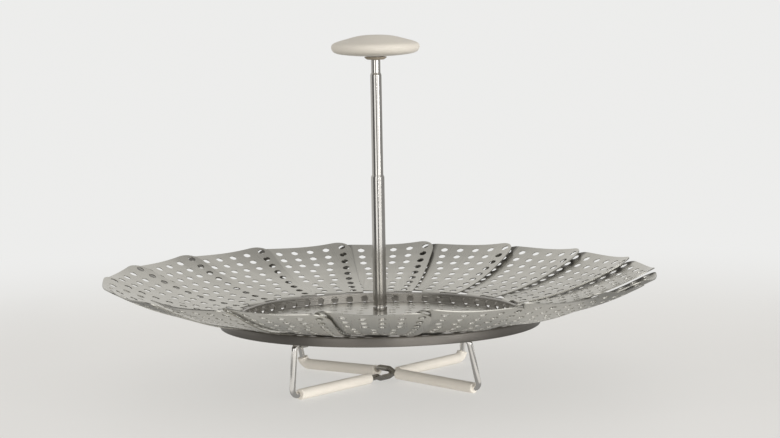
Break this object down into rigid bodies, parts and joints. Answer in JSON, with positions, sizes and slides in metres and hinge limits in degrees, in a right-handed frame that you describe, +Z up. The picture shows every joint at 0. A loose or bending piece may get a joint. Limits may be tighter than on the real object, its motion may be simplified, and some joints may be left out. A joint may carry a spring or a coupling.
{
  "type": "collapsible steamer basket",
  "caption": "Folding steamer basket: overlapping perforated steel petals hinged round a pan, with a telescoping knobbed handle and folding crossed wire legs with soft sleeves.",
  "frame": {"origin": "on the table under the middle of the handle, at the height of the sleeves underside", "axes": "+Z up along the handle, -Y towards the front of the pictured view, +X to its right"},
  "size_m": [0.2802, 0.2802, 0.1764],
  "materials": {
    "petal_steel": "satin stainless sheet",
    "pan_steel": "satin stainless sheet",
    "tube_steel": "brushed stainless tube",
    "wire_steel": "drawn stainless wire",
    "knob_plastic": "smooth matt cream",
    "sleeve_rubber": "matt cream silicone"
  },
  "bodies": {
    "basket": {"base_pan": "pan_steel", "lower_tube": "tube_steel", "post_washer": "pan_steel", "post_nut": "pan_steel", "saddle_rear_left": "pan_steel", "saddle_front_right": "pan_steel", "saddle_front_left": "pan_steel", "saddle_rear_right": "pan_steel"},
    "handle_middle": {"middle_tube": "tube_steel"},
    "handle_stem": {"stem": "tube_steel", "knob_collar": "knob_plastic", "knob": "knob_plastic"},
    "leg_a": {"leg_wire_a": "wire_steel", "sleeve_rear_left": "sleeve_rubber", "sleeve_front_right": "sleeve_rubber"},
    "leg_b": {"leg_wire_b": "wire_steel", "sleeve_front_left": "sleeve_rubber", "sleeve_rear_right": "sleeve_rubber"},
    "petal_01": {"petal_01": "petal_steel"},
    "petal_02": {"petal_02": "petal_steel"},
    "petal_03": {"petal_03": "petal_steel"},
    "petal_04": {"petal_04": "petal_steel"},
    "petal_05": {"petal_05": "petal_steel"},
    "petal_06": {"petal_06": "petal_steel"},
    "petal_07": {"petal_07": "petal_steel"},
    "petal_08": {"petal_08": "petal_steel"},
    "petal_09": {"petal_09": "petal_steel"},
    "petal_10": {"petal_10": "petal_steel"},
    "petal_11": {"petal_11": "petal_steel"},
    "petal_12": {"petal_12": "petal_steel"},
    "petal_13": {"petal_13": "petal_steel"},
    "petal_14": {"petal_14": "petal_steel"},
    "petal_15": {"petal_15": "petal_steel"},
    "petal_16": {"petal_16": "petal_steel"},
    "petal_17": {"petal_17": "petal_steel"},
    "petal_18": {"petal_18": "petal_steel"}
  },
  "joints": [
    {"name": "petal_01_fold", "type": "hinge", "parent": "basket", "child": "petal_01", "pos_m": [0.07516, 0.01123, 0.03465], "axis": [-0.0958, -0.9954, 0], "range_deg": [0, 85]},
    {"name": "petal_02_fold", "type": "hinge", "parent": "basket", "child": "petal_02", "pos_m": [0.06679, 0.03626, 0.03465], "axis": [0.2504, -0.9681, 0], "range_deg": [0, 85]},
    {"name": "petal_03_fold", "type": "hinge", "parent": "basket", "child": "petal_03", "pos_m": [0.05036, 0.05692, 0.03465], "axis": [0.5664, -0.8241, 0], "range_deg": [0, 85]},
    {"name": "petal_04_fold", "type": "hinge", "parent": "basket", "child": "petal_04", "pos_m": [0.02785, 0.07071, 0.03465], "axis": [0.8141, -0.5807, 0], "range_deg": [0, 85]},
    {"name": "petal_05_fold", "type": "hinge", "parent": "basket", "child": "petal_05", "pos_m": [0.00199, 0.07597, 0.03465], "axis": [0.9636, -0.2672, 0], "range_deg": [0, 85]},
    {"name": "petal_06_fold", "type": "hinge", "parent": "basket", "child": "petal_06", "pos_m": [-0.02412, 0.07207, 0.03465], "axis": [0.9969, 0.0785, 0], "range_deg": [0, 85]},
    {"name": "petal_07_fold", "type": "hinge", "parent": "basket", "child": "petal_07", "pos_m": [-0.04731, 0.05948, 0.03465], "axis": [0.91, 0.4147, 0], "range_deg": [0, 85]},
    {"name": "petal_08_fold", "type": "hinge", "parent": "basket", "child": "petal_08", "pos_m": [-0.0648, 0.03971, 0.03465], "axis": [0.7133, 0.7009, 0], "range_deg": [0, 85]},
    {"name": "petal_09_fold", "type": "hinge", "parent": "basket", "child": "petal_09", "pos_m": [-0.07447, 0.01515, 0.03465], "axis": [0.4305, 0.9026, 0], "range_deg": [0, 85]},
    {"name": "petal_10_fold", "type": "hinge", "parent": "basket", "child": "petal_10", "pos_m": [-0.07516, -0.01123, 0.03465], "axis": [0.0958, 0.9954, 0], "range_deg": [0, 85]},
    {"name": "petal_11_fold", "type": "hinge", "parent": "basket", "child": "petal_11", "pos_m": [-0.06679, -0.03626, 0.03465], "axis": [-0.2504, 0.9681, 0], "range_deg": [0, 85]},
    {"name": "petal_12_fold", "type": "hinge", "parent": "basket", "child": "petal_12", "pos_m": [-0.05036, -0.05692, 0.03465], "axis": [-0.5664, 0.8241, 0], "range_deg": [0, 85]},
    {"name": "petal_13_fold", "type": "hinge", "parent": "basket", "child": "petal_13", "pos_m": [-0.02785, -0.07071, 0.03465], "axis": [-0.8141, 0.5807, 0], "range_deg": [0, 85]},
    {"name": "petal_14_fold", "type": "hinge", "parent": "basket", "child": "petal_14", "pos_m": [-0.00199, -0.07597, 0.03465], "axis": [-0.9636, 0.2672, 0], "range_deg": [0, 85]},
    {"name": "petal_15_fold", "type": "hinge", "parent": "basket", "child": "petal_15", "pos_m": [0.02412, -0.07207, 0.03465], "axis": [-0.9969, -0.0785, 0], "range_deg": [0, 85]},
    {"name": "petal_16_fold", "type": "hinge", "parent": "basket", "child": "petal_16", "pos_m": [0.04731, -0.05948, 0.03465], "axis": [-0.91, -0.4147, 0], "range_deg": [0, 85]},
    {"name": "petal_17_fold", "type": "hinge", "parent": "basket", "child": "petal_17", "pos_m": [0.0648, -0.03971, 0.03465], "axis": [-0.7133, -0.7009, 0], "range_deg": [0, 85]},
    {"name": "petal_18_fold", "type": "hinge", "parent": "basket", "child": "petal_18", "pos_m": [0.07447, -0.01515, 0.03465], "axis": [-0.4305, -0.9026, 0], "range_deg": [0, 85]},
    {"name": "middle_tube_slide", "type": "slide", "parent": "basket", "child": "handle_middle", "axis": [0, 0, 1], "range_m": [-0.051, 0]},
    {"name": "stem_slide", "type": "slide", "parent": "handle_middle", "child": "handle_stem", "axis": [0, 0, 1], "range_m": [-0.006, 0]},
    {"name": "leg_a_fold", "type": "hinge", "parent": "basket", "child": "leg_a", "pos_m": [-0.00283, -0.00283, 0.0285], "axis": [0.7071, -0.7071, 0], "range_deg": [0, 70]},
    {"name": "leg_b_fold", "type": "hinge", "parent": "basket", "child": "leg_b", "pos_m": [0.00142, -0.00111, 0.0285], "axis": [-0.6157, -0.788, 0], "range_deg": [0, 70]}
  ],
  "couplings": [
    {"joint": "petal_02_fold", "follows": "petal_01_fold", "ratio": 1},
    {"joint": "petal_03_fold", "follows": "petal_01_fold", "ratio": 1},
    {"joint": "petal_04_fold", "follows": "petal_01_fold", "ratio": 1},
    {"joint": "petal_05_fold", "follows": "petal_01_fold", "ratio": 1},
    {"joint": "petal_06_fold", "follows": "petal_01_fold", "ratio": 1},
    {"joint": "petal_07_fold", "follows": "petal_01_fold", "ratio": 1},
    {"joint": "petal_08_fold", "follows": "petal_01_fold", "ratio": 1},
    {"joint": "petal_09_fold", "follows": "petal_01_fold", "ratio": 1},
    {"joint": "petal_10_fold", "follows": "petal_01_fold", "ratio": 1},
    {"joint": "petal_11_fold", "follows": "petal_01_fold", "ratio": 1},
    {"joint": "petal_12_fold", "follows": "petal_01_fold", "ratio": 1},
    {"joint": "petal_13_fold", "follows": "petal_01_fold", "ratio": 1},
    {"joint": "petal_14_fold", "follows": "petal_01_fold", "ratio": 1},
    {"joint": "petal_15_fold", "follows": "petal_01_fold", "ratio": 1},
    {"joint": "petal_16_fold", "follows": "petal_01_fold", "ratio": 1},
    {"joint": "petal_17_fold", "follows": "petal_01_fold", "ratio": 1},
    {"joint": "petal_18_fold", "follows": "petal_01_fold", "ratio": 1},
    {"joint": "leg_b_fold", "follows": "leg_a_fold", "ratio": 1}
  ]
}
